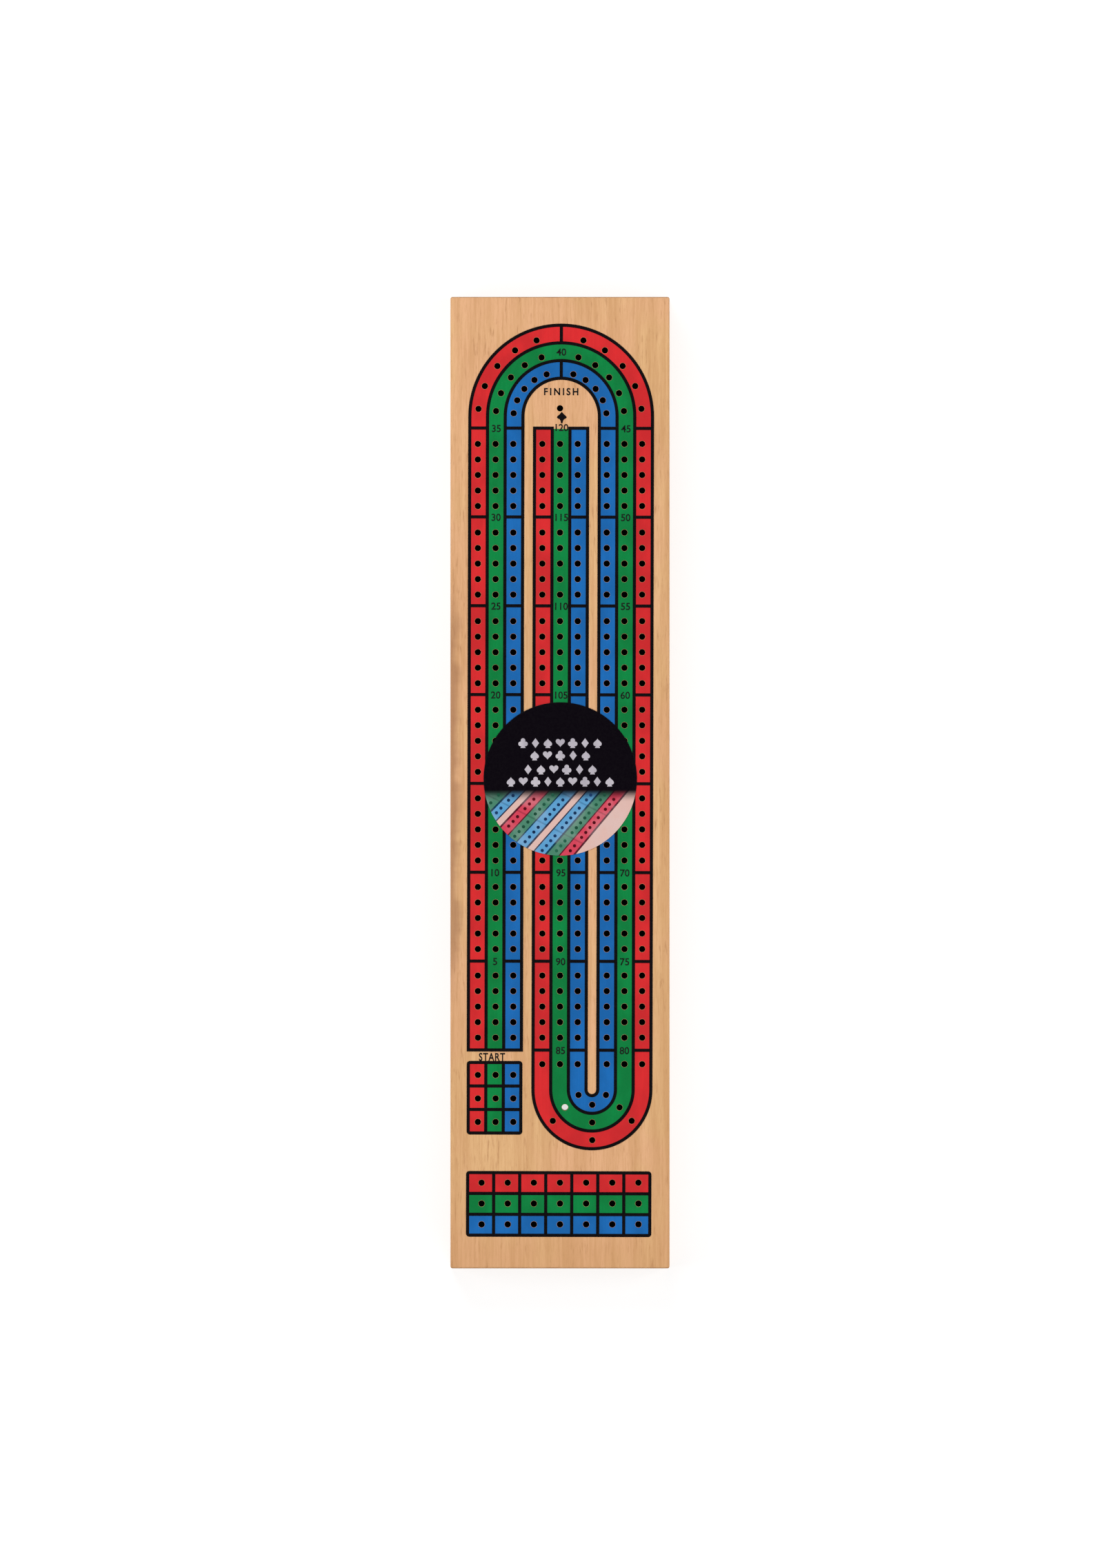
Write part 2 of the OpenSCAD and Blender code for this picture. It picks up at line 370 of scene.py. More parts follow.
def noise(tree, coords, stretch, detail=4.0, roughness=0.55, distortion=0.0, offset=(0, 0, 0)):
    """A noise whose cells measure about 1 / stretch millimetres on each axis."""
    placed = add_node(tree, "ShaderNodeMapping", {"Vector": coords})
    placed.inputs["Scale"].default_value = stretch
    placed.inputs["Location"].default_value = offset
    inputs = {
        "Vector": placed.outputs[0],
        "Scale": 1.0,
        "Detail": detail,
        "Roughness": roughness,
        "Distortion": distortion,
    }
    return add_node(tree, "ShaderNodeTexNoise", inputs).outputs[0]


def ramp(tree, value, stops, interpolation="LINEAR"):
    """A colour ramp from (position, colour) stops."""
    node = add_node(tree, "ShaderNodeValToRGB", {0: value})
    node.color_ramp.interpolation = interpolation
    points = node.color_ramp.elements
    while len(points) < len(stops):
        points.new(0.5)
    for point, (position, colour) in zip(points, stops):
        point.position = position
        point.color = (*colour, 1.0)
    return node.outputs[0]


def spread(tree, value, low_in, high_in, low_out=0.0, high_out=1.0, smooth=True):
    """Maps a value from one range to another, clamped."""
    inputs = {
        "Value": value,
        "From Min": low_in,
        "From Max": high_in,
        "To Min": low_out,
        "To Max": high_out,
    }
    kind = "SMOOTHSTEP" if smooth else "LINEAR"
    return add_node(tree, "ShaderNodeMapRange", inputs, interpolation_type=kind).outputs[0]


def blend_colours(tree, factor, first, second, mode="MIX"):
    """Mixes two colours, each a socket or a linear tone."""
    node = add_node(tree, "ShaderNodeMix", data_type="RGBA", blend_type=mode)
    for number, value in ((0, factor), (6, first), (7, second)):
        if isinstance(value, bpy.types.NodeSocket):
            tree.links.new(value, node.inputs[number])
        else:
            node.inputs[number].default_value = value if number == 0 else (*value, 1.0)
    return node.outputs[2]


def bump(tree, shader, height, distance_mm, strength):
    """Fine relief on a shader from a height pattern."""
    inputs = {"Height": height, "Distance": distance_mm * MM, "Strength": strength}
    node = add_node(tree, "ShaderNodeBump", inputs)
    tree.links.new(node.outputs[0], shader.inputs["Normal"])


def beech_colour(tree, coords):
    """Pale beech along Y: broad soft patches, long streaks, and short darker flecks of two sizes."""
    patch = noise(tree, coords, (0.040, 0.020, 0.040), detail=3.0, offset=(3, 6, 2))
    figure = noise(tree, coords, (0.22, 0.009, 0.22), detail=4.0, distortion=0.5)
    streak = noise(tree, coords, (1.00, 0.035, 1.00), detail=3.0, roughness=0.6, offset=(7, 3, 1))
    fleck = noise(tree, coords, (1.30, 0.15, 1.30), detail=3.0, roughness=0.55, offset=(5, 1, 8))
    fibre = noise(tree, coords, (3.40, 0.30, 3.40), detail=3.0, roughness=0.7, offset=(2, 9, 4))
    crowd = noise(tree, coords, (0.090, 0.045, 0.090), detail=2.0, offset=(9, 4, 6))

    golden = tone(237, 190, 137)
    pinkish = tone(238, 184, 139)
    tan = tone(205, 152, 101)
    brown = tone(182, 129, 86)
    base = blend_colours(tree, spread(tree, patch, 0.38, 0.62), golden, pinkish)
    figured = blend_colours(tree, spread(tree, figure, 0.62, 0.34, 0.0, 0.42), base, tan)
    streaked = blend_colours(tree, spread(tree, streak, 0.58, 0.34, 0.0, 0.38), figured, tan)
    fibred = blend_colours(tree, spread(tree, fibre, 0.56, 0.30, 0.0, 0.30), streaked, tan)
    crowded = spread(tree, crowd, 0.38, 0.62, 0.25, 0.75)
    flecks = maths(tree, "MULTIPLY", spread(tree, fleck, 0.54, 0.76), crowded)
    flecked = blend_colours(tree, flecks, fibred, brown)
    margin_darkened = blend_colours(tree, low_margin(tree, coords), flecked, tan)
    return blend_colours(tree, dark_edge(tree, coords), margin_darkened, tone(168, 118, 86)), fibre, fleck


def low_margin(tree, coords):
    """How far the margins of the board's lower half, and its bottom end, are darkened."""
    place = add_node(tree, "ShaderNodeSeparateXYZ", {0: coords}).outputs
    beside = spread(tree, maths(tree, "ABSOLUTE", place["X"]), 32.0, 39.0)
    lower = spread(tree, place["Y"], -50.0, -100.0)
    bottom = spread(tree, place["Y"], -164.0, -178.0)
    margin = maths(tree, "MAXIMUM", maths(tree, "MULTIPLY", beside, lower), bottom)
    return maths(tree, "MULTIPLY", margin, 0.32)


def dark_edge(tree, coords):
    """How far the darker heartwood shows: a wavering streak along the middle of the left edge."""
    place = add_node(tree, "ShaderNodeSeparateXYZ", {0: coords}).outputs
    down = 0.10
    offset = (0, 2, -BOARD_TOP * down)
    waver = noise(tree, coords, (0.0, 0.045, down), detail=4.0, roughness=0.6, offset=offset)
    reach = spread(tree, waver, 0.30, 0.70, low.x - 0.5, low.x + 3.6, smooth=False)
    across = maths(tree, "SUBTRACT", place["X"], reach)
    beside = spread(tree, across, 3.2, -0.8, 0.0, 0.66)
    along = maths(tree, "ABSOLUTE", maths(tree, "ADD", place["Y"], 4.0))
    deep = spread(tree, place["Z"], 2.0, BOARD_TOP, 0.35, 1.0)
    middle = spread(tree, along, 86.0, 52.0)
    return maths(tree, "MULTIPLY", maths(tree, "MULTIPLY", beside, deep), middle)


def make_beech():
    """Pale beech under a clear satin varnish, darker on its end grain."""
    material, tree, shader, coords = start_material("beech")
    colour, fibre, fleck = beech_colour(tree, coords)
    normal = tree.nodes.new("ShaderNodeNewGeometry").outputs["Normal"]
    sides = add_node(tree, "ShaderNodeSeparateXYZ", {0: normal})
    end_face = spread(tree, maths(tree, "ABSOLUTE", sides.outputs["Y"]), 0.35, 0.75)
    rings = noise(tree, coords, (0.10, 0.0, 0.75), detail=3.0, roughness=0.5, distortion=0.6)
    pores = noise(tree, coords, (3.2, 0.0, 3.2), detail=2.0, offset=(4, 0, 4))
    end_colour = ramp(tree, rings, [
        (0.35, tone(184, 135, 94)),
        (0.50, tone(205, 158, 113)),
        (0.65, tone(190, 141, 99)),
    ])
    pored = blend_colours(tree, spread(tree, pores, 0.60, 0.42, 0.5, 0.0), end_colour, tone(150, 103, 68))
    whole = blend_colours(tree, end_face, colour, pored)
    tree.links.new(whole, shader.inputs["Base Color"])
    tree.links.new(spread(tree, fibre, 0.3, 0.7, 0.62, 0.54), shader.inputs["Roughness"])
    shader.inputs["Specular IOR Level"].default_value = 0.16
    height = maths(tree, "SUBTRACT", fibre, maths(tree, "MULTIPLY", fleck, 0.5))
    bump(tree, shader, height, 0.01, 0.4)
    return material


def make_bored_beech():
    """The drilled wall of a peg hole: raw wood with painted shade, lighter just below the mouth and dark
    deeper down.
    """
    material, tree, shader, coords = start_material("bored_beech")
    wall_mottle = noise(tree, coords, (0.8, 0.8, 3.0), detail=3.0)
    depth = add_node(tree, "ShaderNodeSeparateXYZ", {0: coords}).outputs["Z"]
    # Painted shade: the wall's colour is dark brown inside the hole and lighter only within the top 1.6 mm,
    # where light reaches.
    shade_down = spread(tree, depth, BOARD_TOP - 1.6, BOARD_TOP - 0.05, smooth=False)
    colour = ramp(tree, wall_mottle, [(0.3, tone(66, 38, 26)), (0.7, tone(92, 58, 40))])
    top_colour = blend_colours(tree, shade_down, colour, tone(142, 104, 74))
    tree.links.new(top_colour, shader.inputs["Base Color"])
    tree.links.new(spread(tree, wall_mottle, 0.3, 0.7, 0.75, 0.9), shader.inputs["Roughness"])
    shader.inputs["Specular IOR Level"].default_value = 0.15
    bump(tree, shader, wall_mottle, 0.03, 0.6)
    return material


def make_ink(name, colour, deep):
    """Screen-print ink on wood: slightly uneven cover, with the grain just telling through it."""
    material, tree, shader, coords = start_material(name)
    cover = noise(tree, coords, (0.09, 0.05, 0.09), detail=3.0, offset=(1, 4, 0))
    grain = noise(tree, coords, (2.6, 0.07, 2.6), detail=3.0, roughness=0.7, offset=(2, 9, 4))
    screen = noise(tree, coords, (2.2, 2.2, 2.2), detail=2.0, offset=(6, 2, 0))
    covered = blend_colours(tree, spread(tree, cover, 0.36, 0.64), deep, colour)
    grained = blend_colours(tree, spread(tree, grain, 0.60, 0.38, 0.0, 0.30), covered, deep)
    tree.links.new(grained, shader.inputs["Base Color"])
    tree.links.new(spread(tree, screen, 0.3, 0.7, 0.31, 0.45), shader.inputs["Roughness"])
    shader.inputs["Specular IOR Level"].default_value = 0.18
    height = maths(tree, "ADD", grain, maths(tree, "MULTIPLY", screen, 0.4))
    bump(tree, shader, height, 0.012, 0.5)
    return material


def make_steel():
    """Thin sheet steel, brushed along its length."""
    material, tree, shader, coords = start_material("brushed_steel")
    brush = noise(tree, coords, (9.0, 0.05, 9.0), detail=4.0, roughness=0.7)
    cloud = noise(tree, coords, (0.12, 0.05, 0.12), detail=3.0, offset=(3, 1, 0))
    brushed = ramp(tree, brush, [(0.3, (0.50, 0.50, 0.51)), (0.7, (0.68, 0.68, 0.69))])
    stained = blend_colours(tree, spread(tree, cloud, 0.5, 0.7, 0.0, 0.25), brushed, (0.42, 0.40, 0.39))
    tree.links.new(stained, shader.inputs["Base Color"])
    tree.links.new(spread(tree, brush, 0.3, 0.7, 0.28, 0.46), shader.inputs["Roughness"])
    shader.inputs["Metallic"].default_value = 1.0
    bump(tree, shader, brush, 0.01, 0.4)
    return material


def make_plastic(name, colour, deep):
    """Glossy moulded plastic with slight flow marks and rubbed ridges."""
    material, tree, shader, coords = start_material(name)
    flow = noise(tree, coords, (0.5, 0.12, 0.5), detail=3.0, distortion=0.5)
    scuff = noise(tree, coords, (4.0, 1.2, 4.0), detail=3.0, offset=(1, 5, 3))
    moulded = blend_colours(tree, spread(tree, flow, 0.35, 0.65), deep, colour)
    tree.links.new(moulded, shader.inputs["Base Color"])
    tree.links.new(spread(tree, scuff, 0.45, 0.75, 0.20, 0.38), shader.inputs["Roughness"])
    bump(tree, shader, scuff, 0.006, 0.4)
    return material


GREEN_STRIPE = tone(76, 136, 110)
BLUE_STRIPE = tone(94, 163, 212)
RED_STRIPE = tone(218, 70, 92)
PALE_STRIPE = tone(230, 190, 180)
TEAL_LINE = tone(18, 62, 84)
NAVY_LINE = tone(40, 46, 74)
MAROON_LINE = tone(92, 22, 40)
STRIPES = (
    (-30.0, GREEN_STRIPE),
    (-12.50, TEAL_LINE),
    (-11.90, BLUE_STRIPE),
    (-8.65, NAVY_LINE),
    (-8.00, PALE_STRIPE),
    (-6.00, MAROON_LINE),
    (-5.35, RED_STRIPE),
    (-1.80, MAROON_LINE),
    (-1.20, GREEN_STRIPE),
    (2.20, TEAL_LINE),
    (2.80, BLUE_STRIPE),
    (6.45, NAVY_LINE),
    (7.10, PALE_STRIPE),
    (9.15, NAVY_LINE),
    (9.80, BLUE_STRIPE),
    (13.30, TEAL_LINE),
    (13.90, GREEN_STRIPE),
    (17.35, MAROON_LINE),
    (17.95, RED_STRIPE),
    (21.55, MAROON_LINE),
    (22.15, PALE_STRIPE),
)
DOT_ROWS = {
    "green": (-14.3, 0.7, 15.9),
    "blue": (-10.2, 4.9, 11.8),
    "red": (-3.5, 19.85),
}


def make_label_paper():
    """The round label's print: a black field that melts into slanting coloured lanes."""
    material, tree, shader, coords = start_material("label_paper")
    slanted = add_node(tree, "ShaderNodeMapping", {"Vector": coords})
    slanted.inputs["Rotation"].default_value = (0.0, 0.0, math.radians(90 - STRIPE_ANGLE))
    place = add_node(tree, "ShaderNodeSeparateXYZ", {0: slanted.outputs[0]}).outputs
    grow = maths(tree, "MULTIPLY_ADD", maths(tree, "SUBTRACT", place["Y"], FAN_ROW), FAN_SPREAD, 1.0)
    away = maths(tree, "MULTIPLY", maths(tree, "SUBTRACT", place["X"], FAN_MIDDLE), grow)
    across = maths(tree, "ADD", away, FAN_MIDDLE)
    reach = 30.0
    share = maths(tree, "DIVIDE", maths(tree, "ADD", across, reach), 2 * reach)
    edges = [((u + reach) / (2 * reach), colour) for u, colour in STRIPES]
    stripes = ramp(tree, share, edges, "CONSTANT")
    lanes = [(u, (0.0,) * 3 if colour in (PALE_STRIPE, NAVY_LINE) else (1.0,) * 3) for u, colour in edges]
    on_lane = ramp(tree, share, lanes, "CONSTANT")
    climb = maths(tree, "MULTIPLY_ADD", place["X"], -TICK_SLOPE, place["Y"])
    turns = maths(tree, "DIVIDE", maths(tree, "SUBTRACT", climb, TICK_START - DOT_GROUP / 2), DOT_GROUP)
    from_tick = maths(tree, "ABSOLUTE", maths(tree, "SUBTRACT", maths(tree, "FRACT", turns), 0.5))
    ticks = maths(tree, "MULTIPLY", spread(tree, from_tick, 0.032, 0.012, 0.0, 0.32), on_lane)
    ticked = blend_colours(tree, ticks, stripes, TEAL_LINE, "MULTIPLY")
    mottle = noise(tree, coords, (0.16, 0.16, 0.16), detail=3.0)
    uneven = blend_colours(tree, spread(tree, mottle, 0.40, 0.65, 0.0, 0.14), ticked, tone(222, 222, 226))
    straight = add_node(tree, "ShaderNodeSeparateXYZ", {0: coords}).outputs["Y"]
    fade = spread(tree, straight, -2.6, -7.4)
    picture = blend_colours(tree, fade, tone(6, 1, 9), uneven)
    tree.links.new(picture, shader.inputs["Base Color"])
    tooth = noise(tree, coords, (1.5, 1.5, 1.5), detail=3.0)
    tree.links.new(spread(tree, tooth, 0.3, 0.7, 0.34, 0.44), shader.inputs["Roughness"])
    shader.inputs["Specular IOR Level"].default_value = 0.14
    bump(tree, shader, tooth, 0.006, 0.4)
    return material


beech = make_beech()
bored = make_bored_beech()
inks = {
    "red": make_ink("red_ink", tone(228, 47, 50), tone(207, 42, 46)),
    "green": make_ink("green_ink", tone(12, 140, 70), tone(12, 124, 61)),
    "blue": make_ink("blue_ink", tone(30, 112, 190), tone(26, 101, 172)),
    "black": make_ink("black_ink", tone(14, 8, 12), tone(8, 5, 8)),
    "pale": make_ink("pale_ink", tone(206, 200, 208), tone(180, 174, 184)),
}
dot_inks = {
    "red": make_ink("label_red_dots", tone(96, 8, 24), tone(64, 4, 16)),
    "green": make_ink("label_green_dots", tone(22, 70, 52), tone(42, 104, 80)),
    "blue": make_ink("label_blue_dots", tone(16, 40, 74), tone(26, 62, 108)),
}
label_paper = make_label_paper()
steel = make_steel()
plastics = {
    "red": make_plastic("red_plastic", (0.620, 0.012, 0.018), (0.520, 0.010, 0.014)),
    "green": make_plastic("green_plastic", (0.010, 0.230, 0.070), (0.008, 0.180, 0.052)),
    "blue": make_plastic("blue_plastic", (0.020, 0.120, 0.460), (0.015, 0.092, 0.380)),
}


# ---- Board -----------------------------------------------------------------

def rounded_block():
    """The plank before it is machined, its edges rounded off."""
    shape = bmesh.new()
    bmesh.ops.create_cube(shape, size=1.0)
    size = (high - low) * MM
    middle = (high + low) / 2 * MM
    stretched = Matrix.Translation(middle) @ Matrix.Diagonal((*size, 1.0))
    bmesh.ops.transform(shape, matrix=stretched, verts=shape.verts)
    edges = list(shape.edges)
    bmesh.ops.bevel(shape, geom=edges, offset=EDGE_RADIUS * MM, segments=4, profile=0.5, affect="EDGES")
    mesh = bpy.data.meshes.new("plank")
    shape.to_mesh(mesh)
    shape.free()
    mesh.materials.append(beech)
    return mesh


def routed(name, width, start, length, corner, z0, z1):
    """A pocket with round corners, as a cutter object."""
    x = width / 2 - corner
    y0 = start + corner
    y1 = start + length - corner
    outline = arc((x, y1), corner, 0, 90, 10) + arc((-x, y1), corner, 90, 180, 10)
    outline += arc((-x, y0), corner, 180, 270, 10) + arc((x, y0), corner, 270, 360, 10)
    mesh = prism(name, outline, z0, z1)
    mesh.materials.append(beech)
    cutter = bpy.data.objects.new(name, mesh)
    scene.collection.objects.link(cutter)
    return cutter


def bits(tree, source, places, radius, depth, material):
    """Cylinders that reach a depth below every place and stand out above it, as a drill does."""
    points = add_node(tree, "GeometryNodeObjectInfo", {"Object": source[places]}).outputs["Geometry"]
    length = maths(tree, "ADD", depth, 1 * MM)
    shape = {"Vertices": HOLE_SIDES, "Radius": radius, "Depth": length}
    cylinder = add_node(tree, "GeometryNodeMeshCylinder", shape).outputs["Mesh"]
    lowered = maths(tree, "SUBTRACT", maths(tree, "MULTIPLY", length, 0.5), depth)
    offset = add_node(tree, "ShaderNodeCombineXYZ", {"Z": lowered}).outputs[0]
    placed = add_node(tree, "GeometryNodeTransform", {"Geometry": cylinder, "Translation": offset})
    walled = add_node(tree, "GeometryNodeSetMaterial", {"Geometry": placed.outputs[0], "Material": material})
    inputs = {"Points": points, "Instance": walled.outputs[0]}
    return add_node(tree, "GeometryNodeInstanceOnPoints", inputs).outputs[0]


def drilling_tree():
    """Machines a block: routed pockets, blind holes, one through hole and a softened rim on each."""
    tree, source = start_tree("drilling", (
        ("Mouth", "Object"), ("Groove", "Object"), ("Compartment", "Object"),
        ("Blind Holes", "Object"), ("Through Holes", "Object"),
        ("Hole Radius", "Float"), ("Hole Depth", "Float"), ("Board Depth", "Float"),
        ("Rim Width", "Float"), ("Wall", "Material"), ("Face", "Material"),
    ))
    radius = source["Hole Radius"]
    blind = bits(tree, source, "Blind Holes", radius, source["Hole Depth"], source["Wall"])
    through = bits(tree, source, "Through Holes", radius, source["Board Depth"], source["Wall"])
    rim = source["Rim Width"]
    cone_inputs = {
        "Vertices": HOLE_SIDES,
        "Radius Bottom": maths(tree, "SUBTRACT", radius, rim),
        "Radius Top": maths(tree, "MULTIPLY_ADD", rim, 2.0, radius),
        "Depth": maths(tree, "MULTIPLY", rim, 3.0),
    }
    cone = add_node(tree, "GeometryNodeMeshCone", cone_inputs).outputs["Mesh"]
    drop = add_node(tree, "ShaderNodeCombineXYZ", {"Z": maths(tree, "MULTIPLY", rim, -0.4)}).outputs[0]
    sunk = add_node(tree, "GeometryNodeTransform", {"Geometry": cone, "Translation": drop}).outputs[0]
    wood_inputs = {"Geometry": sunk, "Material": source["Face"]}
    wood = add_node(tree, "GeometryNodeSetMaterial", wood_inputs).outputs[0]
    rims = []
    for places in ("Blind Holes", "Through Holes"):
        points = add_node(tree, "GeometryNodeObjectInfo", {"Object": source[places]}).outputs["Geometry"]
        inputs = {"Points": points, "Instance": wood}
        rims.append(add_node(tree, "GeometryNodeInstanceOnPoints", inputs).outputs[0])
    pockets = [
        add_node(tree, "GeometryNodeObjectInfo", {"Object": source[name]}).outputs["Geometry"]
        for name in ("Mouth", "Groove", "Compartment")
    ]
    cut = add_node(tree, "GeometryNodeMeshBoolean", {"Mesh 1": source["Geometry"]}, operation="DIFFERENCE")
    cut.solver = "MANIFOLD"
    for tool in (*pockets, blind, through, *rims):
        solid = add_node(tree, "GeometryNodeRealizeInstances", {"Geometry": tool}).outputs[0]
        tree.links.new(solid, cut.inputs["Mesh 2"])
    end_tree(tree, cut.outputs["Mesh"], None)
    return tree


def build_board():
    """The plank with its pockets routed and its peg holes drilled."""
    green_84 = through_hole()
    blind = [p for lane in LANES for p in lane_holes(lane) if math.dist(p, green_84) > 0.1]
    blind.append(FINISH_HOLE)
    groove_start = KERF["start"]
    values = {
        "Mouth": routed(
            "mouth", CAVITY["width"], groove_start + SLOT_MARGIN, KERF["length"] - 2 * SLOT_MARGIN,
            CAVITY["corner"], -1.0, KERF["low"] + 0.01,
        ),
        "Groove": routed(
            "groove", KERF["width"], groove_start, KERF["length"], KERF["corner"], KERF["low"], KERF["high"],
        ),
        "Compartment": routed(
            "compartment", CAVITY["width"], CAVITY["middle"] - CAVITY["length"] / 2, CAVITY["length"],
            CAVITY["corner"], KERF["high"] - 0.01, CAVITY_TOP,
        ),
        "Blind Holes": points_object("blind_holes", blind, BOARD_TOP),
        "Through Holes": points_object("through_holes", [green_84], BOARD_TOP),
        "Hole Radius": HOLE_RADIUS * MM,
        "Hole Depth": HOLE_DEPTH * MM,
        "Board Depth": (BOARD_TOP + 1) * MM,
        "Rim Width": RIM_WIDTH * MM,
        "Wall": bored,
        "Face": beech,
    }
    mesh = grown(drilling_tree(), rounded_block(), values)
    for value in values.values():
        if isinstance(value, bpy.types.Object):
            bpy.data.objects.remove(value)
    return leaning_to_flats(mesh)


# ---- Print -----------------------------------------------------------------

def band_tree():
    """Sweeps flat bands of ink along lines, and punches them at the peg holes."""
    tree, source = start_tree("ink_band", (
        ("Width", "Float"), ("Thickness", "Float"), ("Holes", "Object"), ("Hole Radius", "Float"),
        ("Ink", "Material"),
    ))
    swept = sweep(tree, source["Geometry"], source["Width"], source["Thickness"])
    points = add_node(tree, "GeometryNodeObjectInfo", {"Object": source["Holes"]}).outputs["Geometry"]
    shape = {"Vertices": HOLE_SIDES, "Radius": source["Hole Radius"], "Depth": 1 * MM}
    punch = add_node(tree, "GeometryNodeMeshCylinder", shape).outputs["Mesh"]
    inputs = {"Points": points, "Instance": punch}
    punches = add_node(tree, "GeometryNodeInstanceOnPoints", inputs).outputs[0]
    solid = add_node(tree, "GeometryNodeRealizeInstances", {"Geometry": punches}).outputs[0]
    cut = add_node(tree, "GeometryNodeMeshBoolean", {"Mesh 1": swept}, operation="DIFFERENCE")
    cut.solver = "MANIFOLD"
    tree.links.new(solid, cut.inputs["Mesh 2"])
    end_tree(tree, cut.outputs["Mesh"], source["Ink"])
    return tree


def sweep(tree, lines, width, thickness):
    """A flat bar swept along every line of a mesh, lying level."""
    curve = add_node(tree, "GeometryNodeMeshToCurve", {"Mesh": lines}).outputs[0]
    level = add_node(tree, "GeometryNodeSetCurveNormal", {"Curve": curve}, mode="Z_UP").outputs[0]
    section = add_node(tree, "GeometryNodeCurvePrimitiveQuadrilateral", {"Width": width, "Height": thickness})
    inputs = {"Curve": level, "Profile Curve": section.outputs[0], "Fill Caps": True}
    return add_node(tree, "GeometryNodeCurveToMesh", inputs).outputs[0]


def line_tree():
    """Sweeps three sets of lines, each free of crossings, and joins them into one layer of ink."""
    tree, source = start_tree("ink_lines", (
        ("Column Lines", "Object"), ("Crossing Lines", "Object"), ("Width", "Float"), ("Thickness", "Float"),
        ("Ink", "Material"),
    ))
    sets = [source["Geometry"]]
    for name in ("Column Lines", "Crossing Lines"):
        sets.append(add_node(tree, "GeometryNodeObjectInfo", {"Object": source[name]}).outputs["Geometry"])
    union = add_node(tree, "GeometryNodeMeshBoolean", operation="UNION")
    union.solver = "MANIFOLD"
    for lines in sets:
        bars = sweep(tree, lines, source["Width"], source["Thickness"])
        tree.links.new(bars, union.inputs["Mesh 2"])
    end_tree(tree, union.outputs["Mesh"], source["Ink"])
    return tree


def build_lane(tree, lane):
    """One colour: its band of the track, its start cells and its row of game-counter cells."""
    out = OUTWARD[lane]
    (start_x, start_y), (_, start_h) = START_BLOCK
    (game_x, game_y), (game_w, game_h) = GAME_BLOCK
    row_h = game_h / 3
    row_y = game_y + (1 - LANES.index(lane)) * row_h
    reach = start_h / 2 - INK_TUCK
    start_line = [(start_x - out, start_y - reach), (start_x - out, start_y + reach)]
    game_line = [(game_x - game_w / 2 + INK_TUCK, row_y), (game_x + game_w / 2 - INK_TUCK, row_y)]
    holes = points_object(lane + "_holes", lane_holes(lane), BOARD_TOP)
    values = {
        "Thickness": INK * MM,
        "Holes": holes,
        "Hole Radius": (HOLE_RADIUS + RIM_WIDTH) * MM,
        "Ink": inks[lane],
    }
    meshes = []
    for lines, width in (
        ([track(out, INK_TUCK), start_line], LANE_PITCH - 2 * INK_TUCK),
        ([game_line], row_h - 2 * INK_TUCK),
    ):
        placed = [[printed(p) for p in line] for line in lines]
        path = lines_mesh(lane + "_path", placed, BOARD_TOP + INK / 2)
        meshes.append(grown(tree, path, {**values, "Width": width * MM}))
    bpy.data.objects.remove(holes)
    return shade_flat(joined("print_" + lane, meshes))


def block_border(block):
    """The line round a block of cells, its corners rounded."""
    (x, y), (w, h) = block
    corner = LINE_WIDTH / 2 + 0.05
    across = w / 2 - corner
    up = h / 2 - corner
    border = []
    for turn, (side, end) in enumerate(((1, 1), (-1, 1), (-1, -1), (1, -1))):
        border += arc((x + side * across, y + end * up), corner, 90 * turn, 90 * turn + 90, 22.5)
    return border + border[:1]


def block_lines(block, columns, rows):
    """The lines between the columns and between the rows of a block of equal cells."""
    (x, y), (w, h) = block
    places = [x + (i / columns - 0.5) * w for i in range(1, columns)]
    uprights = [[(at, y - h / 2), (at, y + h / 2)] for at in places]
    levels = [y + (j / rows - 0.5) * h for j in range(1, rows)]
    return uprights, [[(x - w / 2, at), (x + w / 2, at)] for at in levels]


def tick(x, y):
    """A line across one lane, as far as the outer sides of the lines along it."""
    reach = (LANE_PITCH + LINE_WIDTH) / 2
    return [(x - reach, y), (x + reach, y)]


def track_ticks():
    """The five-hole marks over the red and blue lanes, and the line that closes the track at the start."""
    ticks = []
    for out in (-LANE_PITCH, LANE_PITCH):
        for i in range(GROUPS + 1):
            y = PRINT_TOP - i * PRINT_GROUP
            if i < GROUPS:
                ticks.append(tick(-PRINT_STREET - out, y))
            ticks.append(tick(-out, y))
            ticks.append(tick(PRINT_STREET + out, y))
        crown = PRINT_TOP_BEND + PRINT_STREET + out
        ticks.append([(0, crown - LANE_PITCH / 2), (0, crown + LANE_PITCH / 2)])
    edge = 1.5 * LANE_PITCH + LINE_WIDTH / 2
    ticks.append([(-PRINT_STREET - edge, PRINT_START), (-PRINT_STREET + edge, PRINT_START)])
    return ticks


def build_black(tree):
    """Every black line: lane edges, five-hole marks, the start line and both blocks' grids."""
    start_columns, start_rows = block_lines(START_BLOCK, 3, 3)
    game_columns, game_rows = block_lines(GAME_BLOCK, 7, 3)
    sets = {
        "along": [track(b * LANE_PITCH) for b in (-1.5, -0.5, 0.5, 1.5)],
        "columns": start_columns + game_columns,
        "across": track_ticks() + start_rows + game_rows,
    }
    sets["along"] += [block_border(START_BLOCK), block_border(GAME_BLOCK)]
    helpers = {}
    for name, lines in sets.items():
        placed = [[printed(p) for p in line] for line in lines]
        path = lines_mesh(name, placed, BOARD_TOP + 1.5 * INK)
        helpers[name] = bpy.data.objects.new(name, path)
        scene.collection.objects.link(helpers[name])
    values = {
        "Column Lines": helpers["columns"],
        "Crossing Lines": helpers["across"],
        "Width": LINE_WIDTH * MM,
        "Thickness": INK * MM,
        "Ink": inks["black"],
    }
    mesh = grown(tree, helpers["along"].data, values)
    for helper in helpers.values():
        bpy.data.objects.remove(helper)
    return shade_flat(mesh)


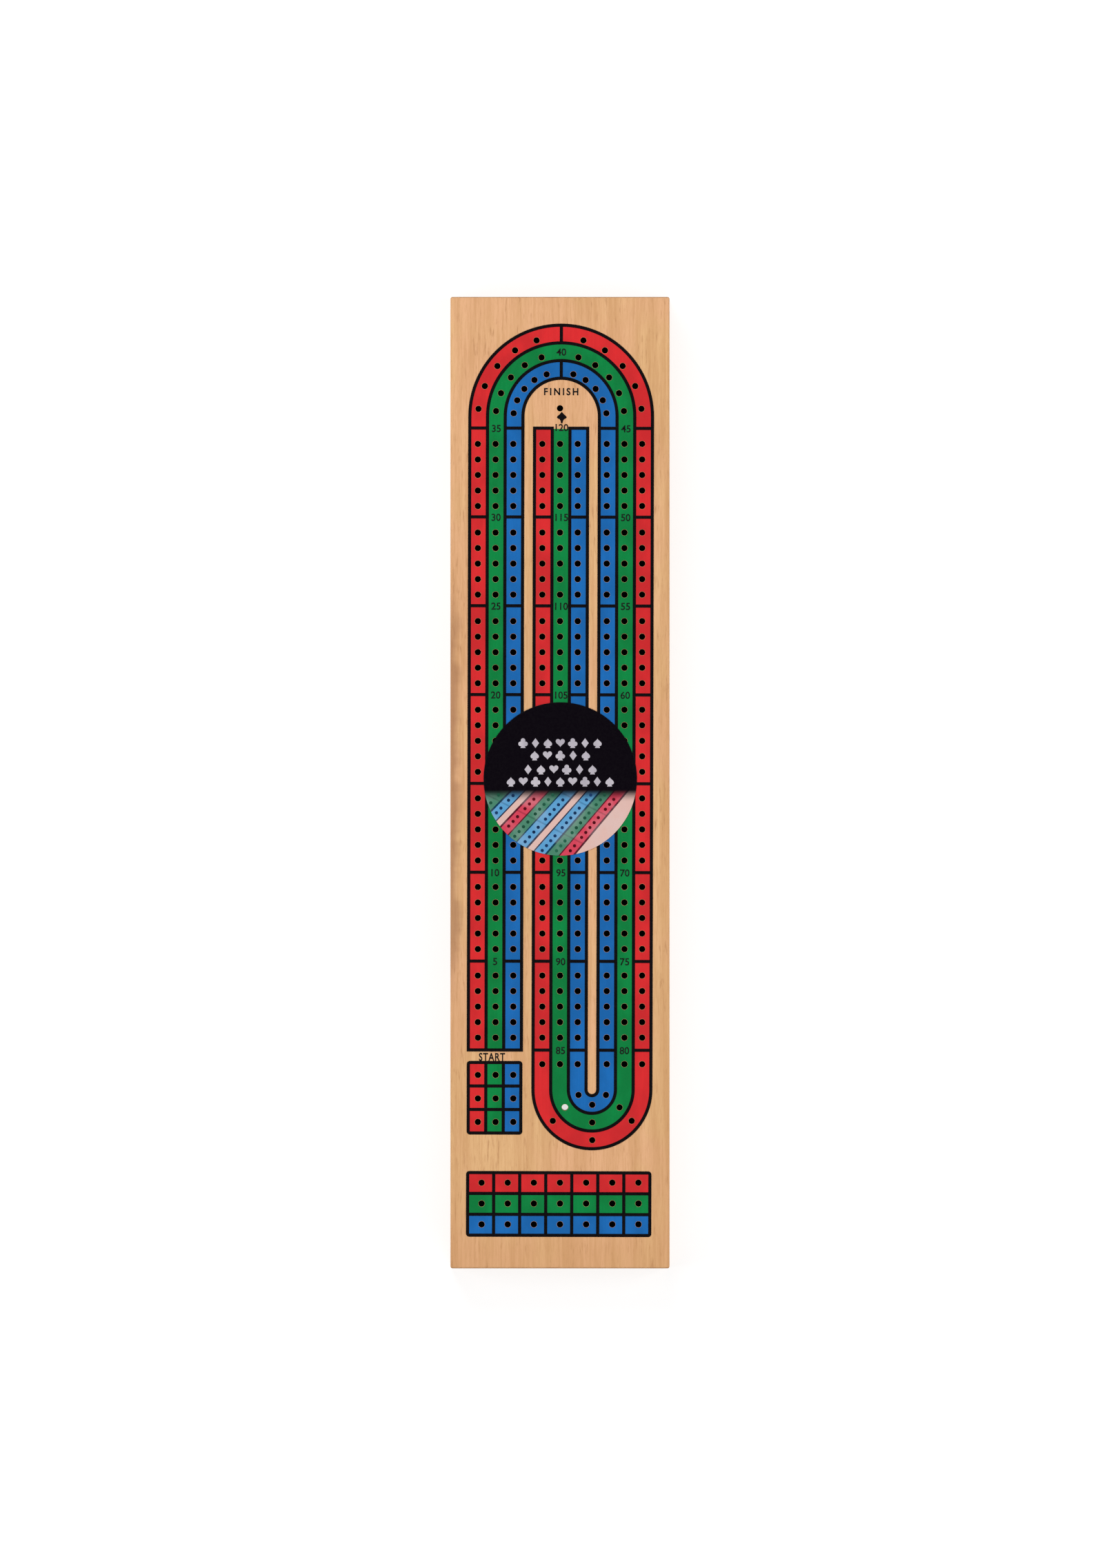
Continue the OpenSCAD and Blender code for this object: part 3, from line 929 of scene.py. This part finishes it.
def word(text, centre, height, z, width=None, spacing=1.0, weight=0.012):
    """Generic lettering as a thin layer of ink, its height and any set width in millimetres."""
    font = bpy.data.curves.new("word", "FONT")
    font.body = text
    font.offset = weight
    font.space_character = spacing
    font.resolution_u = 4
    carrier = bpy.data.objects.new("word", font)
    scene.collection.objects.link(carrier)
    evaluated = carrier.evaluated_get(bpy.context.evaluated_depsgraph_get())
    flat = bpy.data.meshes.new_from_object(evaluated)
    bpy.data.objects.remove(carrier)
    xs = [v.co.x for v in flat.vertices]
    ys = [v.co.y for v in flat.vertices]
    scale_y = height / (max(ys) - min(ys))
    scale_x = width / (max(xs) - min(xs)) if width else scale_y
    middle = Vector(((max(xs) + min(xs)) / 2, (max(ys) + min(ys)) / 2))
    shape = bmesh.new()
    shape.from_mesh(flat)
    bmesh.ops.remove_doubles(shape, verts=shape.verts, dist=1e-5)
    for v in shape.verts:
        local = (centre[0] + (v.co.x - middle.x) * scale_x, centre[1] + (v.co.y - middle.y) * scale_y)
        v.co = metres(printed(local), z)
    thicken(shape, INK * MM)
    mesh = bpy.data.meshes.new("word")
    shape.to_mesh(mesh)
    shape.free()
    mesh.materials.append(inks["black"])
    return mesh


def thicken(shape, height):
    """Turns the flat faces of a bmesh into closed solids standing on them."""
    risen = bmesh.ops.extrude_face_region(shape, geom=list(shape.faces))["geom"]
    corners = [part for part in risen if isinstance(part, bmesh.types.BMVert)]
    bmesh.ops.translate(shape, verts=corners, vec=(0, 0, height))
    bmesh.ops.recalc_face_normals(shape, faces=shape.faces)


def build_numbers():
    """Hole numbers along the green lane, every fifth hole."""
    words = []
    drop = -0.15
    top_rise = 0.4
    for i in range(GROUPS + 1):
        y = PRINT_TOP - i * PRINT_GROUP + drop
        if i < GROUPS:
            words.append((str(35 - 5 * i), (-PRINT_STREET, y)))
        words.append((str(45 + 5 * i), (PRINT_STREET, y)))
        rise = top_rise if i == 0 else 0.0
        words.append((str(120 - 5 * i), (0.3, y + rise)))
    words.append(("40", (0, PRINT_TOP_BEND + PRINT_STREET + drop)))
    z = BOARD_TOP + INK
    return joined("printed_numbers", [word(text, centre, NUMBER_HEIGHT, z) for text, centre in words])


def build_words():
    """The start and finish words, and the arrow from hole 120 to the finish hole."""
    meshes = [
        word("START", (-25.6, -103.95), 3.1, BOARD_TOP, width=9.9, spacing=1.15, weight=0.022),
        word("FINISH", (0.0, 148.1), 2.8, BOARD_TOP, width=13.0, spacing=1.4, weight=0.026),
    ]
    tip = Vector((0.25, 140.5))
    half_head = [
        (0.0, 0.0), (-0.7, -0.85), (-1.7, -1.75), (-1.85, -2.15), (-1.6, -2.5), (-0.85, -2.85), (-0.45, -3.5),
        (-0.3, -4.4),
    ]
    arrow = [tip + Vector(p) for p in half_head]
    arrow += [tip + Vector((-x, y)) for x, y in reversed(half_head[1:])]
    head = prism("arrow", [printed(p) for p in arrow], BOARD_TOP, BOARD_TOP + INK)
    head.materials.append(inks["black"])
    return joined("printed_words", [*meshes, head])


# ---- Label -----------------------------------------------------------------

def build_label():
    """The round paper label, its cut edge slightly softened."""
    low_z = label_low.z
    high_z = label_high.z - LABEL_ART
    rings = ((LABEL_RADIUS, low_z), (LABEL_RADIUS, high_z - 0.03), (LABEL_RADIUS - 0.05, high_z))
    rings += tuple((LABEL_RADIUS * f, high_z) for f in (0.97, 0.8, 0.5, 0.2))
    shape = bmesh.new()
    loops = []
    for radius, z in rings:
        turns = (360 * i / LABEL_SIDES for i in range(LABEL_SIDES))
        loops.append([shape.verts.new(metres(on_circle(LABEL_CENTRE, radius, turn), z)) for turn in turns])
    for lower, upper in zip(loops, loops[1:]):
        for i in range(LABEL_SIDES):
            after = (i + 1) % LABEL_SIDES
            shape.faces.new((lower[i], lower[after], upper[after], upper[i]))
    shape.faces.new(loops[-1])
    shape.faces.new(list(reversed(loops[0])))
    mesh = bpy.data.meshes.new("round_label")
    shape.to_mesh(mesh)
    shape.free()
    mesh.materials.append(label_paper)
    return leaning_to_flats(mesh)


def heart_outline(size, count=28):
    """A heart of one size, anticlockwise, from the usual sine formula."""
    points = []
    for i in range(count):
        t = 2 * math.pi * i / count
        x = 16 * math.sin(t) ** 3
        y = 13 * math.cos(t) - 5 * math.cos(2 * t) - 2 * math.cos(3 * t) - math.cos(4 * t)
        points.append((-x * size / 34, (y + 2.5) * size / 34))
    return points


def suit_outlines(suit, size):
    """Overlapping outlines that make up one card suit, centred, anticlockwise."""
    stem = [(0, 0.1), (-0.26, -0.5), (0.26, -0.5)]
    stem = [(x * size, y * size) for x, y in stem]
    if suit == "heart":
        return [heart_outline(size)]
    if suit == "diamond":
        return [[(0, 0.5 * size), (-0.37 * size, 0), (0, -0.5 * size), (0.37 * size, 0)]]
    if suit == "spade":
        heart = [(-x, -y + 0.08 * size) for x, y in heart_outline(size * 0.92)]
        return [heart, stem]
    leaves = ((0, 0.26), (-0.25, -0.08), (0.25, -0.08))
    circles = [arc((x * size, y * size), 0.235 * size, 0, 342, 18) for x, y in leaves]
    return [*circles, stem]


def union_tree():
    """Merges the overlapping solids of one mesh into a single clean layer."""
    tree, source = start_tree("merged_art", (("Ink", "Material"),))
    merged = add_node(tree, "GeometryNodeMeshBoolean", operation="UNION")
    merged.solver = "EXACT"
    merged.inputs["Self Intersection"].default_value = True
    tree.links.new(source["Geometry"], merged.inputs["Mesh 2"])
    end_tree(tree, merged.outputs["Mesh"], source["Ink"])
    return tree


def build_label_pips():
    """Rows of card suits on the label's black field."""
    suits = ("spade", "heart", "club", "diamond")
    top = label_high.z
    rows = ((15.0, 7, 28.2), (10.3, 5, 19.4), (5.0, 6, 24.4), (0.4, 9, 37.4))
    solids = []
    for y, count, width in rows:
        for i in range(count):
            x = (i / (count - 1) - 0.5) * width
            for outline in suit_outlines(suits[(i + (9 - count)) % 4], 3.7):
                placed = [(LABEL_CENTRE[0] + x + px, y + py) for px, py in outline]
                solids.append(prism("pip", placed, top - LABEL_ART, top))
    return grown(union_tree(), joined("pips", solids), {"Ink": inks["pale"]})


def slanted(across, along):
    """The board place of a point of the label's slanting picture, its fan included."""
    turn = math.radians(STRIPE_ANGLE)
    u = FAN_MIDDLE + (across - FAN_MIDDLE) / (1 + FAN_SPREAD * (along - FAN_ROW))
    return (u * math.sin(turn) + along * math.cos(turn), -u * math.cos(turn) + along * math.sin(turn))


def dot_places(rows):
    """Dots along the label's lanes, in fives between the ticks, where the picture shows."""
    places = []
    for row in rows:
        for group in range(-1, 3):
            tick_at = TICK_START + TICK_SLOPE * row + group * DOT_GROUP
            places += [slanted(row, tick_at + DOT_FIRST + k * DOT_PITCH) for k in range(5)]
    return [p for p in places if math.dist(p, LABEL_CENTRE) < LABEL_RADIUS - 0.9 and p[1] < -4.6]


def build_label_dots():
    """The small dots of the label's picture, each lane's in its own deep colour."""
    top = label_high.z
    sockets = (("Dot Radius", "Float"), ("Height", "Float"), ("Ink", "Material"))
    tree, source = start_tree("label_dots", sockets)
    shape = {"Vertices": 14, "Radius": source["Dot Radius"], "Depth": source["Height"]}
    dot = add_node(tree, "GeometryNodeMeshCylinder", shape).outputs["Mesh"]
    inputs = {"Points": source["Geometry"], "Instance": dot}
    dots = add_node(tree, "GeometryNodeInstanceOnPoints", inputs).outputs[0]
    end_tree(tree, dots, source["Ink"])
    meshes = []
    for colour, rows in DOT_ROWS.items():
        mesh = bpy.data.meshes.new("label_dots")
        mesh.from_pydata([metres(p, top - LABEL_ART / 2) for p in dot_places(rows)], [], [])
        values = {"Dot Radius": DOT_RADIUS * MM, "Height": LABEL_ART * MM, "Ink": dot_inks[colour]}
        meshes.append(grown(tree, mesh, values))
    return joined("label_dots", meshes)


# ---- Pieces ----------------------------------------------------------------

piece("drilled_board", build_board(), stands_for=["board"])
bands = band_tree()
for lane in LANES:
    piece(lane + "_lane_ink", build_lane(bands, lane), stands_for=["print_" + lane])
piece("black_line_ink", build_black(line_tree()), stands_for=["print_black"])
piece("printed_numbers", build_numbers())
piece("printed_words", build_words())
piece("paper_label", build_label(), stands_for=["round_label"])
piece("label_pips", build_label_pips())
piece("label_dots", build_label_dots())


def finish_node(name, material):
    """Gives a CAD node that keeps its own mesh its finished material."""
    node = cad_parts[name]
    for slot in node.material_slots:
        slot.material = material
    if not node.material_slots:
        node.data.materials.append(material)


finish_node("compartment_door", steel)
for lane in LANES:
    for number in (1, 2, 3):
        finish_node(f"{lane}_peg_{number}", plastics[lane])


# ---- Stage, in metres --------------------------------------------------------

FLOOR_REACH = 20.0
FLOOR_DROP = 0.0002
SOFTBOX_SIZE = 0.9
PICTURE_HEIGHT = 0.5939


def make_floor():
    """A plain pale floor that glows like lit acrylic, more so further out, and is clear from below."""
    mesh = bpy.data.meshes.new("floor")
    reach = FLOOR_REACH
    corners = [(-reach, -reach, 0), (reach, -reach, 0), (reach, reach, 0), (-reach, reach, 0)]
    mesh.from_pydata(corners, [], [(0, 1, 2, 3)])
    floor = bpy.data.objects.new("floor", mesh)
    scene.collection.objects.link(floor)
    material = bpy.data.materials.new("floor")
    material.use_nodes = True
    material.cycles.emission_sampling = "NONE"
    tree = material.node_tree
    shader = tree.nodes["Principled BSDF"]
    shader.inputs["Base Color"].default_value = (0.34, 0.34, 0.34, 1.0)
    shader.inputs["Roughness"].default_value = 0.9
    shader.inputs["Specular IOR Level"].default_value = 0.0
    shader.inputs["Emission Color"].default_value = (1.0, 1.0, 1.0, 1.0)
    place = tree.nodes.new("ShaderNodeTexCoord").outputs["Object"]
    away = add_node(tree, "ShaderNodeVectorMath", {0: place}, operation="LENGTH").outputs["Value"]
    tree.links.new(spread(tree, away, 0.3, 1.6, 0.74, 1.0), shader.inputs["Emission Strength"])
    back = tree.nodes.new("ShaderNodeNewGeometry").outputs["Backfacing"]
    clear = tree.nodes.new("ShaderNodeBsdfTransparent")
    mix = add_node(tree, "ShaderNodeMixShader", {0: back, 1: shader.outputs[0], 2: clear.outputs[0]})
    tree.links.new(mix.outputs[0], tree.nodes["Material Output"].inputs["Surface"])
    mesh.materials.append(material)
    floor.location.z = -FLOOR_DROP


def softbox(name, place, power):
    """A square area light aimed at the middle of the board."""
    light = bpy.data.lights.new(name, "AREA")
    light.shape = "SQUARE"
    light.size = SOFTBOX_SIZE
    light.energy = power
    lamp = bpy.data.objects.new(name, light)
    lamp.location = place
    lamp.rotation_euler = (-Vector(place)).to_track_quat("-Z", "Y").to_euler()
    scene.collection.objects.link(lamp)


def make_world():
    """Dim even fill, which the camera sees as white."""
    world = bpy.data.worlds.new("studio")
    world.use_nodes = True
    tree = world.node_tree
    fill = tree.nodes["Background"]
    fill.inputs["Color"].default_value = (1.0, 1.0, 1.0, 1.0)
    fill.inputs["Strength"].default_value = 0.10
    shown = add_node(tree, "ShaderNodeBackground", {"Color": (1.0, 1.0, 1.0, 1.0), "Strength": 1.0})
    path = tree.nodes.new("ShaderNodeLightPath").outputs["Is Camera Ray"]
    mix = add_node(tree, "ShaderNodeMixShader", {0: path, 1: fill.outputs[0], 2: shown.outputs[0]})
    tree.links.new(mix.outputs[0], tree.nodes["World Output"].inputs["Surface"])
    scene.world = world


def make_camera():
    """Straight above the face with a long lens, the board centred in the frame."""
    camera = bpy.data.cameras.new("camera")
    camera.lens = 500.0
    camera.sensor_width = 36.0
    distance = PICTURE_HEIGHT * camera.lens / camera.sensor_width
    holder = bpy.data.objects.new("camera", camera)
    holder.location = (0.0, -0.0005, BOARD_TOP * MM + distance)
    camera.clip_start = 0.1
    camera.clip_end = 50.0
    scene.collection.objects.link(holder)
    scene.camera = holder


make_floor()
softbox("far_light", (-0.40, 1.30, 0.98), 14.4)
softbox("near_light", (0.40, -1.32, 0.94), 10.2)
softbox("left_light", (-1.36, -0.10, 0.94), 10.2)
softbox("right_light", (1.36, 0.10, 0.94), 9.6)
make_world()
make_camera()
scene.view_settings.view_transform = "Standard"
